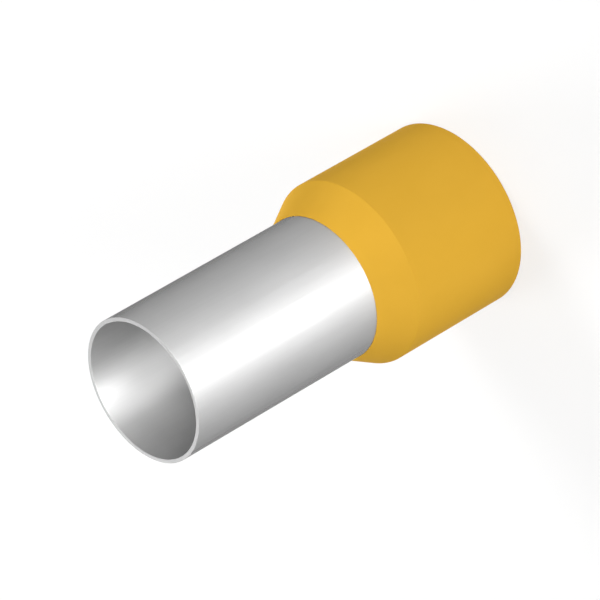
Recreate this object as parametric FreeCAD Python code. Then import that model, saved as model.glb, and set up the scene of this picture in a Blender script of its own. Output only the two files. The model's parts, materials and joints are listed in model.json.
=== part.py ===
import FreeCAD, Part
import math
import os

# Wire ferrule with an insulating collar, for a stranded conductor of 70 mm2. Millimetres.
# The axis is +Z. The collar's rear rim stands on z = 0 and the sleeve's mouth is at the top.

# Sleeve: drawn copper tube, tinned, cut square at the mouth and flared inside the collar
sleeve_bore = 12.7           # diameter that takes the stripped strands
sleeve_wall = 0.35
sleeve_reach = 21.0          # bare sleeve in front of the collar's nose
mouth_bevel = 0.05           # broken edges of the cut mouth
bend_radius = 3.0            # outside of the bend between tube and flare

# Collar: moulded sheath that grips the sleeve and takes the end of the wire's insulation
collar_length = 16.0
collar_wall = 0.6
insulation_room = 1.3        # the entry bore is this much larger in radius than the sleeve
grip_length = 1.2            # from the nose back to the corner where the flare turns off
nose_lip = 0.05              # flat ring left at the tip of the nose cone
shoulder_radius = 0.3        # edge between the nose cone and the barrel
rear_edge_radius = 0.15      # outer edge of the rear rim
entry_bevel = 0.2            # 45 degree lead-in at the rear rim
funnel_blend = 0.5           # hollow between the entry bore and the funnel

# Shared by both pieces
cone_angle = 29.0            # from the axis: nose cone, funnel and flare run parallel
flare_margin = 0.3           # the flare's tip stops this far short of the entry bore, in radius
seat_clearance = 0.02        # drawn gap all along the seat between sleeve and collar

# Worked out from the sizes above
cone = math.radians(cone_angle)
sleeve_inside = sleeve_bore / 2
sleeve_outside = sleeve_inside + sleeve_wall
entry_inside = sleeve_outside + insulation_room
collar_outside = entry_inside + collar_wall
overall_length = collar_length + sleeve_reach
bend_height = collar_length - grip_length


def rounded_ring(corners):
    # Ring turned about Z. Each corner of its half section is (radius, height, edge radius).
    points = [FreeCAD.Vector(radius, 0, height) for radius, height, edge in corners]
    arcs = []
    for index, (radius, height, edge) in enumerate(corners):
        corner = points[index]
        back = (points[index - 1] - corner).normalize()
        ahead = (points[(index + 1) % len(points)] - corner).normalize()
        half_angle = back.getAngle(ahead) / 2
        setback = edge / math.tan(half_angle)
        sagitta = edge / math.sin(half_angle) - edge
        middle = corner + (back + ahead).normalize() * sagitta
        arcs.append((corner + back * setback, middle, corner + ahead * setback))

    edges = []
    for index, (start, middle, end) in enumerate(arcs):
        if corners[index][2] > 0:
            edges.append(Part.Arc(start, middle, end).toShape())
        following = arcs[(index + 1) % len(arcs)][0]
        edges.append(Part.LineSegment(end, following).toShape())
    section = Part.Face(Part.Wire(edges))
    return section.revolve(FreeCAD.Vector(0, 0, 0), FreeCAD.Vector(0, 0, 1), 360)


def cone_height(radius, start_radius, start_height):
    # Height at which a cone that opens downwards from the start reaches the radius
    return start_height - (radius - start_radius) / math.tan(cone)


def conductor_sleeve():
    bevel = min(mouth_bevel, sleeve_wall / 4)
    tip_outside = entry_inside - flare_margin
    tip_height = cone_height(tip_outside, sleeve_outside, bend_height)

    # The inner face runs one wall inside the outer face, round the same bend centre
    inner_bend_height = bend_height - sleeve_wall * math.tan(cone / 2)
    tip_inside = tip_outside - sleeve_wall * math.cos(cone)
    tip_inner_height = tip_height - sleeve_wall * math.sin(cone)

    return rounded_ring([
        (sleeve_outside, overall_length - bevel, 0),
        (sleeve_outside - bevel, overall_length, 0),
        (sleeve_inside + bevel, overall_length, 0),
        (sleeve_inside, overall_length - bevel, 0),
        (sleeve_inside, inner_bend_height, bend_radius + sleeve_wall),
        (tip_inside, tip_inner_height, 0),
        (tip_outside, tip_height, 0),
        (sleeve_outside, bend_height, bend_radius),
    ])


def insulating_collar():
    rear_edge = min(rear_edge_radius, collar_wall / 4)
    bevel = min(entry_bevel, collar_wall / 3)

    # The hole and the funnel run one clearance outside the sleeve and its flare
    hole = sleeve_outside + seat_clearance
    funnel_top = bend_height + seat_clearance * math.tan(cone / 2)
    funnel_foot = cone_height(entry_inside, hole, funnel_top)
    nose = hole + nose_lip
    shoulder_height = cone_height(collar_outside, nose, collar_length)

    return rounded_ring([
        (hole, collar_length, 0),
        (nose, collar_length, 0),
        (collar_outside, shoulder_height, shoulder_radius),
        (collar_outside, 0, rear_edge),
        (entry_inside + bevel, 0, 0),
        (entry_inside, bevel, 0),
        (entry_inside, funnel_foot, funnel_blend),
        (hole, funnel_top, bend_radius - seat_clearance),
    ])


os.makedirs("parts", exist_ok=True)
conductor_sleeve().exportStep("parts/conductor_sleeve.step")
insulating_collar().exportStep("parts/insulating_collar.step")
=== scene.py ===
import json
import math

import bpy
from mathutils import Matrix, Vector


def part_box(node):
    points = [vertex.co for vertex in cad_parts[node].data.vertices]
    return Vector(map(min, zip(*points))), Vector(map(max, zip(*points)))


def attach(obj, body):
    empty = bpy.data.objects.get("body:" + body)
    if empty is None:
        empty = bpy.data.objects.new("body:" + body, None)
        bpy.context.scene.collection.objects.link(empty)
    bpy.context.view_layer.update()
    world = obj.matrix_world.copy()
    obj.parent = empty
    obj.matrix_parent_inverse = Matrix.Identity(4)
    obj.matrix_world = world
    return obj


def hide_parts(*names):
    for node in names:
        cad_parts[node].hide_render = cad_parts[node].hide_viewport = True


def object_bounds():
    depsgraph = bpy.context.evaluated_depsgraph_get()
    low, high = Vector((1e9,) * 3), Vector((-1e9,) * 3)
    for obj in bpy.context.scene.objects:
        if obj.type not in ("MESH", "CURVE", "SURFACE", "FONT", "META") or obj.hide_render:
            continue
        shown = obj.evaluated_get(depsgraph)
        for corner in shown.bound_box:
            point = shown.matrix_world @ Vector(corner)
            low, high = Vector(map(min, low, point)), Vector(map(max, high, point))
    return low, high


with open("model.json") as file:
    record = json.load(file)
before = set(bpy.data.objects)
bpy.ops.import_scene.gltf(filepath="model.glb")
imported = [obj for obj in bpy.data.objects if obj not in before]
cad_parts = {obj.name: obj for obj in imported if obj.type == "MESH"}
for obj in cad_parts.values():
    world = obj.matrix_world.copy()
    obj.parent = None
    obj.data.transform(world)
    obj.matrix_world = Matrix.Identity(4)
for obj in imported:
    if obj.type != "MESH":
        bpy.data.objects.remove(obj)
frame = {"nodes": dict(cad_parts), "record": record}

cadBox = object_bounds()
mm = 0.001
print("frame loaded:", sorted(frame["nodes"]))


# Sizes read from the frame, in metres
sleeveLow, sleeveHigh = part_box("conductor_sleeve")
collarLow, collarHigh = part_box("insulating_collar")
roundMounts = {mount["name"]: mount["dims"]["r_mm"] * mm
               for mount in frame["record"]["mounts"] if "r_mm" in mount["dims"]}
sleeveRadius = roundMounts["sleeve_outside"]
boreRadius = roundMounts["conductor_bore"]
entryRadius = roundMounts["insulation_entry"]
collarRadius = collarHigh.x
noseHeight = collarHigh.z
mouthHeight = sleeveHigh.z
middle = (cadBox[0] + cadBox[1]) / 2

# Both pieces turn off at the same angle, so that flare, funnel and nose cone run parallel
coneSlope = math.radians(29)       # from the axis
flareBend = 3.0 * mm               # outside of the bend from tube to flare
seatGap = 0.02 * mm                # between sleeve and collar

turnedRing = {
    "segments": 256,               # round the axis
    "arcSteps": 7,                 # along each rounded edge
}


def roundedProfile(corners):
    # Corners are (radius, height, edge radius, finish after it), up the outside and down the bore.
    # Gives (radius, height, normal radius, normal height, finish after it) with the edges as arcs.
    points = [Vector((radius, height)) for radius, height, edge, finish in corners]
    profile = []
    for index, (radius, height, edge, finish) in enumerate(corners):
        corner = points[index]
        back = (points[index - 1] - corner).normalized()
        ahead = (points[(index + 1) % len(points)] - corner).normalized()
        inward = (back + ahead).normalized()
        half = back.angle(ahead) / 2
        centre = corner + inward * (edge / math.sin(half))
        turn = back.x * -ahead.y + back.y * ahead.x
        bend = math.copysign(math.pi - 2 * half, turn)
        hollow = -1 if turn < 0 else 1
        before = corners[index - 1][3]
        for step in range(turnedRing["arcSteps"] + 1):
            angle = bend * step / turnedRing["arcSteps"]
            along = Matrix.Rotation(angle, 2) @ -back
            normal = Vector((along.y, -along.x))
            place = centre + normal * (edge * hollow)
            last = step == turnedRing["arcSteps"]
            profile.append((place.x, place.y, normal.x, normal.y, finish if last else before))
    return profile


def turnOnAxis(name, corners, finishes):
    # Spins a rounded profile about Z into a mesh with true normals and one UV sheet
    profile = roundedProfile(corners)
    count = turnedRing["segments"]
    lengths = [0.0]
    for index, here in enumerate(profile):
        ahead = profile[(index + 1) % len(profile)]
        lengths.append(lengths[-1] + math.hypot(ahead[0] - here[0], ahead[1] - here[1]))

    verts, normals = [], []
    for radius, height, normalRadius, normalHeight, finish in profile:
        for step in range(count):
            angle = 2 * math.pi * step / count
            verts.append((radius * math.cos(angle), radius * math.sin(angle), height))
            normals.append((normalRadius * math.cos(angle), normalRadius * math.sin(angle), normalHeight))

    finishNames = list(finishes)
    faces, faceFinishes, sheetCorners = [], [], []
    for index, (radius, height, normalRadius, normalHeight, finish) in enumerate(profile):
        here = index * count
        ahead = (index + 1) % len(profile) * count
        low = lengths[index] / lengths[-1]
        high = lengths[index + 1] / lengths[-1]
        for step in range(count):
            following = (step + 1) % count
            faces.append((here + step, here + following, ahead + following, ahead + step))
            faceFinishes.append(finishNames.index(finish))
            left, right = step / count, (step + 1) / count
            sheetCorners += [(left, low), (right, low), (right, high), (left, high)]

    mesh = bpy.data.meshes.new(name)
    mesh.from_pydata(verts, [], faces)
    for material in finishes.values():
        mesh.materials.append(material)
    mesh.polygons.foreach_set("material_index", faceFinishes)
    mesh.polygons.foreach_set("use_smooth", [True] * len(faces))
    sheet = mesh.uv_layers.new(name="turned")
    sheet.data.foreach_set("uv", [value for corner in sheetCorners for value in corner])
    mesh.update()
    mesh.normals_split_custom_set_from_vertices(normals)
    piece = bpy.data.objects.new(name, mesh)
    bpy.context.scene.collection.objects.link(piece)
    return piece


def emptyTree(owner):
    # The node tree of a material or world, cleared of the nodes it starts with
    owner.use_nodes = True
    nodes, links = owner.node_tree.nodes, owner.node_tree.links
    nodes.clear()
    return nodes, links


def newFinish(name):
    material = bpy.data.materials.new(name)
    nodes, links = emptyTree(material)
    output = nodes.new("ShaderNodeOutputMaterial")
    skin = nodes.new("ShaderNodeBsdfPrincipled")
    links.new(skin.outputs["BSDF"], output.inputs["Surface"])
    return material, nodes, links, skin


def noiseOf(nodes, links, pattern):
    # Noise in the piece's own space. A stretch below 1 draws it out along the axis.
    place = nodes.new("ShaderNodeTexCoord")
    mapping = nodes.new("ShaderNodeMapping")
    mapping.inputs["Scale"].default_value = (1, 1, pattern["stretch"])
    noise = nodes.new("ShaderNodeTexNoise")
    noise.inputs["Scale"].default_value = pattern["scale"]
    noise.inputs["Detail"].default_value = pattern["detail"]
    links.new(place.outputs["Object"], mapping.inputs["Vector"])
    links.new(mapping.outputs["Vector"], noise.inputs["Vector"])
    return noise.outputs["Fac"]


noiseSpan = (0.25, 0.75)           # nearly all of a noise lies between these


def spread(nodes, links, noise, low, high):
    # Maps the span of a noise to the range low to high
    ranged = nodes.new("ShaderNodeMapRange")
    ranged.inputs["From Min"].default_value = noiseSpan[0]
    ranged.inputs["From Max"].default_value = noiseSpan[1]
    ranged.inputs["To Min"].default_value = low
    ranged.inputs["To Max"].default_value = high
    links.new(noise, ranged.inputs["Value"])
    return ranged.outputs["Result"]


def shadeBy(nodes, links, noise, skin, dark, light):
    # Lets the colour wander between two shades
    blend = nodes.new("ShaderNodeMix")
    blend.data_type = "RGBA"
    blend.inputs["A"].default_value = (*dark, 1)
    blend.inputs["B"].default_value = (*light, 1)
    links.new(spread(nodes, links, noise, 0, 1), blend.inputs["Factor"])
    links.new(blend.outputs["Result"], skin.inputs["Base Color"])


def roughenBy(nodes, links, noise, skin, roughness, depth, relief):
    # Varies the roughness by a noise and raises the same noise as fine relief
    rough = spread(nodes, links, noise, roughness - depth, roughness + depth)
    links.new(rough, skin.inputs["Roughness"])
    bump = nodes.new("ShaderNodeBump")
    bump.inputs["Distance"].default_value = relief
    links.new(noise, bump.inputs["Height"])
    links.new(bump.outputs["Normal"], skin.inputs["Normal"])


sleeve = {
    "mouthEdge": 0.015 * mm,       # broken edges of the cut mouth
    "tipEdge": 0.04 * mm,          # edges of the flare's tip
    # Tin by place: "edge" is the tint where it turns away, "axial" how far highlights are drawn out
    "outside": {"colour": 0.4275, "edge": 0.03, "roughness": 0.52, "axial": 0.7},
    "bore": {"colour": 0.423, "edge": 0.10, "roughness": 0.54, "axial": 0.77},
    "cut": {"colour": 0.425, "edge": 0.80, "roughness": 0.32, "axial": 0.0},
    "axialTurn": 0.25,             # turns the drawn-out highlights along the axis
    "shadeDepth": 0.03,            # lighter and darker tin, as a share of the colour
    "clouds": {"scale": 420.0, "stretch": 0.4, "detail": 2.0},
    "roughnessDepth": 0.03,
    "lines": {"scale": 5200.0, "stretch": 0.012, "detail": 4.0},
    "lineHeight": 0.0015 * mm,
}


def tinFinish(place):
    look = sleeve[place]
    material, nodes, links, skin = newFinish("tin_" + place)
    lines = noiseOf(nodes, links, sleeve["lines"])
    clouds = noiseOf(nodes, links, sleeve["clouds"])
    dark = look["colour"] * (1 - sleeve["shadeDepth"])
    light = look["colour"] * (1 + sleeve["shadeDepth"])
    shadeBy(nodes, links, clouds, skin, (dark,) * 3, (light,) * 3)
    roughenBy(nodes, links, lines, skin, look["roughness"], sleeve["roughnessDepth"], sleeve["lineHeight"])
    skin.inputs["Metallic"].default_value = 1.0
    skin.inputs["Specular Tint"].default_value = (look["edge"], look["edge"], look["edge"], 1)
    if look["axial"]:
        # Spreads each highlight along the axis, as the fine rings of the drawn and rolled tube do
        tangent = nodes.new("ShaderNodeTangent")
        tangent.direction_type = "RADIAL"
        tangent.axis = "Z"
        links.new(tangent.outputs["Tangent"], skin.inputs["Tangent"])
        skin.inputs["Anisotropic"].default_value = look["axial"]
        skin.inputs["Anisotropic Rotation"].default_value = sleeve["axialTurn"]
    return material


def makeSleeve():
    wall = sleeveRadius - boreRadius
    tipRadius = sleeveHigh.x
    tipHeight = sleeveLow.z + wall * math.sin(coneSlope)
    bendHeight = tipHeight + (tipRadius - sleeveRadius) / math.tan(coneSlope)
    innerBendHeight = bendHeight - wall * math.tan(coneSlope / 2)
    piece = turnOnAxis("drawnSleeve", [
        (sleeveRadius, mouthHeight, sleeve["mouthEdge"], "cut"),
        (boreRadius, mouthHeight, sleeve["mouthEdge"], "bore"),
        (boreRadius, innerBendHeight, flareBend + wall, "bore"),
        (tipRadius - wall * math.cos(coneSlope), sleeveLow.z, sleeve["tipEdge"], "cut"),
        (tipRadius, tipHeight, sleeve["tipEdge"], "outside"),
        (sleeveRadius, bendHeight, flareBend, "outside"),
    ], {place: tinFinish(place) for place in ("outside", "cut", "bore")})
    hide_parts("conductor_sleeve")
    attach(piece, "root")
    return bendHeight


flareHeight = makeSleeve()         # where the tube's outside would meet the flare's as straight lines
print("sleeve turned and tinned")


collar = {
    "noseLip": 0.05 * mm,          # flat ring left at the tip of the nose cone
    "noseEdge": 0.015 * mm,
    "shoulder": 0.3 * mm,          # between nose cone and barrel
    "rearEdge": 0.15 * mm,
    "leadIn": 0.2 * mm,            # bevel at the entry
    "leadInEdge": 0.05 * mm,
    "funnelBlend": 0.5 * mm,
    "light": (0.745, 0.420, 0.0445),
    "dark": (0.715, 0.400, 0.0400),
    "clouds": {"scale": 260.0, "stretch": 0.6, "detail": 3.0},
    "gloss": 0.004,                # specular level, where 0.5 is a usual plastic
    "roughness": 0.5,
    "roughnessDepth": 0.05,
    "grain": {"scale": 8000.0, "stretch": 1.0, "detail": 3.0},
    "grainHeight": 0.0025 * mm,
}


def plasticFinish():
    material, nodes, links, skin = newFinish("moulded_yellow")
    clouds = noiseOf(nodes, links, collar["clouds"])
    grain = noiseOf(nodes, links, collar["grain"])
    shadeBy(nodes, links, clouds, skin, collar["dark"], collar["light"])
    roughenBy(nodes, links, grain, skin, collar["roughness"], collar["roughnessDepth"], collar["grainHeight"])
    skin.inputs["Specular IOR Level"].default_value = collar["gloss"]
    return material


def makeCollar():
    hole = sleeveRadius + seatGap
    nose = hole + collar["noseLip"]
    funnelTop = flareHeight + seatGap * math.tan(coneSlope / 2)
    funnelFoot = funnelTop - (entryRadius - hole) / math.tan(coneSlope)
    shoulderHeight = noseHeight - (collarRadius - nose) / math.tan(coneSlope)
    leadIn = collar["leadIn"]
    piece = turnOnAxis("mouldedCollar", [
        (collarRadius, collarLow.z, collar["rearEdge"], "moulded"),
        (collarRadius, shoulderHeight, collar["shoulder"], "moulded"),
        (nose, noseHeight, collar["noseEdge"], "moulded"),
        (hole, noseHeight, collar["noseEdge"], "moulded"),
        (hole, funnelTop, flareBend - seatGap, "moulded"),
        (entryRadius, funnelFoot, collar["funnelBlend"], "moulded"),
        (entryRadius, collarLow.z + leadIn, collar["leadInEdge"], "moulded"),
        (entryRadius + leadIn, collarLow.z, collar["leadInEdge"], "moulded"),
    ], {"moulded": plasticFinish()})
    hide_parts("insulating_collar")
    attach(piece, "root")


makeCollar()
print("collar moulded")


studio = {
    "floorSize": 0.5,
    "floorDrop": 0.01 * mm,        # keeps the floor clear of the rear rim
    "floorShade": 0.30,            # what the lamps light, and what takes the shadow
    "floorGlow": 0.71,             # white that camera, glossy and transmission rays also see
    "worldLevel": 0.32,            # light on the object from all round
    "lampDistance": 0.60,
}


def seenDirectly(nodes, links):
    # 1 for camera, glossy and transmission rays, 0 for the rays that light the object
    path = nodes.new("ShaderNodeLightPath")
    seen = path.outputs["Is Camera Ray"]
    for ray in ("Is Glossy Ray", "Is Transmission Ray"):
        either = nodes.new("ShaderNodeMath")
        either.operation = "MAXIMUM"
        links.new(seen, either.inputs[0])
        links.new(path.outputs[ray], either.inputs[1])
        seen = either.outputs["Value"]
    return seen


def floorFinish():
    # A matt floor that takes the shadow, with a white glow for the rays that see it directly
    material = bpy.data.materials.new("pale_floor")
    nodes, links = emptyTree(material)
    output = nodes.new("ShaderNodeOutputMaterial")
    matt = nodes.new("ShaderNodeBsdfDiffuse")
    matt.inputs["Color"].default_value = (studio["floorShade"], studio["floorShade"], studio["floorShade"], 1)
    glow = nodes.new("ShaderNodeEmission")
    share = nodes.new("ShaderNodeMath")
    share.operation = "MULTIPLY"
    share.inputs[1].default_value = studio["floorGlow"]
    both = nodes.new("ShaderNodeAddShader")
    links.new(seenDirectly(nodes, links), share.inputs[0])
    links.new(share.outputs["Value"], glow.inputs["Strength"])
    links.new(matt.outputs["BSDF"], both.inputs[0])
    links.new(glow.outputs["Emission"], both.inputs[1])
    links.new(both.outputs["Shader"], output.inputs["Surface"])
    return material


def makeFloor():
    half = studio["floorSize"] / 2
    corners = [(-half, -half), (half, -half), (half, half), (-half, half)]
    mesh = bpy.data.meshes.new("studioFloor")
    mesh.from_pydata([(x, y, -studio["floorDrop"]) for x, y in corners], [], [(0, 1, 2, 3)])
    mesh.materials.append(floorFinish())
    floor = bpy.data.objects.new("studioFloor", mesh)
    bpy.context.scene.collection.objects.link(floor)


def makeWorld():
    world = bpy.data.worlds.new("softWhiteRoom")
    nodes, links = emptyTree(world)
    output = nodes.new("ShaderNodeOutputWorld")
    sky = nodes.new("ShaderNodeBackground")
    sky.inputs["Color"].default_value = (1, 1, 1, 1)
    level = nodes.new("ShaderNodeMapRange")
    level.inputs["To Min"].default_value = studio["worldLevel"]
    level.inputs["To Max"].default_value = 1.0
    links.new(seenDirectly(nodes, links), level.inputs["Value"])
    links.new(level.outputs["Result"], sky.inputs["Strength"])
    links.new(sky.outputs["Background"], output.inputs["Surface"])
    bpy.context.scene.world = world


# Each lamp looks at the middle of the ferrule. Azimuth 0 is the camera's side, and minus is its left.
# A lamp is seen either by matt surfaces or in the gloss of shiny ones.
lamps = {
    "keyLamp": {"azimuth": -17, "elevation": 12, "size": 0.24, "power": 2.77, "seenBy": "matt"},
    "keySheen": {"azimuth": -20, "elevation": 12, "size": 0.24, "power": 2.8, "seenBy": "gloss"},
    "fillLamp": {"azimuth": 96, "elevation": 35, "size": 0.24, "power": 1.78, "seenBy": "matt"},
    "sheenFarLeft": {"azimuth": -60, "elevation": 38, "size": 0.26, "power": 1.29, "seenBy": "gloss"},
    "sheenLeft": {"azimuth": -36, "elevation": 50, "size": 0.26, "power": 3.95, "seenBy": "gloss"},
    "sheenHigh": {"azimuth": -2, "elevation": 52, "size": 0.26, "power": 3.3, "seenBy": "gloss"},
    "sheenRight": {"azimuth": 8, "elevation": 31, "size": 0.26, "power": 1.75, "seenBy": "gloss"},
    "sheenFarRight": {"azimuth": 48, "elevation": 38, "size": 0.26, "power": 1.12, "seenBy": "gloss"},
    "sideLamp": {"azimuth": -125, "elevation": 6, "size": 0.24, "power": 0.36, "seenBy": "matt"},
    "backLamp": {"azimuth": 175, "elevation": 25, "size": 0.30, "power": 2.2, "seenBy": "matt"},
    "backSheen": {"azimuth": 190, "elevation": 8, "size": 0.30, "power": 2.3, "seenBy": "gloss"},
}


def aimAtMiddle(item, azimuth, elevation, distance):
    turn, rise = math.radians(azimuth), math.radians(elevation)
    away = Vector((math.sin(turn) * math.cos(rise), -math.cos(turn) * math.cos(rise), math.sin(rise)))
    item.location = middle + away * distance
    item.rotation_mode = "QUATERNION"
    item.rotation_quaternion = (-away).to_track_quat("-Z", "Y")


def makeLamp(name, look):
    light = bpy.data.lights.new(name, "AREA")
    light.shape = "DISK"
    light.size = look["size"]
    light.energy = look["power"]
    lamp = bpy.data.objects.new(name, light)
    bpy.context.scene.collection.objects.link(lamp)
    lamp.visible_camera = False
    lamp.visible_diffuse = look["seenBy"] == "matt"
    lamp.visible_glossy = look["seenBy"] == "gloss"
    aimAtMiddle(lamp, look["azimuth"], look["elevation"], studio["lampDistance"])


makeFloor()
makeWorld()
for name, look in lamps.items():
    makeLamp(name, look)
print("floor, world and lamps set")


# An equal view on all three axes, rolled so that the upright ferrule lies as pictured
viewpoint = {
    "azimuth": 0.0,
    "elevation": 35.264,
    "roll": -120.0,
    "distance": 0.4522,
    "lens": 317.9,
    "sensor": 36.0,
    "clip": (0.01, 50.0),          # nearest and farthest that the camera sees
}


def makeCamera():
    data = bpy.data.cameras.new("photoCamera")
    data.lens = viewpoint["lens"]
    data.sensor_width = viewpoint["sensor"]
    data.clip_start, data.clip_end = viewpoint["clip"]
    camera = bpy.data.objects.new("photoCamera", data)
    bpy.context.scene.collection.objects.link(camera)
    aimAtMiddle(camera, viewpoint["azimuth"], viewpoint["elevation"], viewpoint["distance"])
    roll = Matrix.Rotation(math.radians(viewpoint["roll"]), 3, "Z")
    camera.rotation_quaternion = (camera.rotation_quaternion.to_matrix() @ roll).to_quaternion()
    bpy.context.scene.camera = camera


makeCamera()
view = bpy.context.scene.view_settings
view.view_transform = "Standard"
print("camera set")
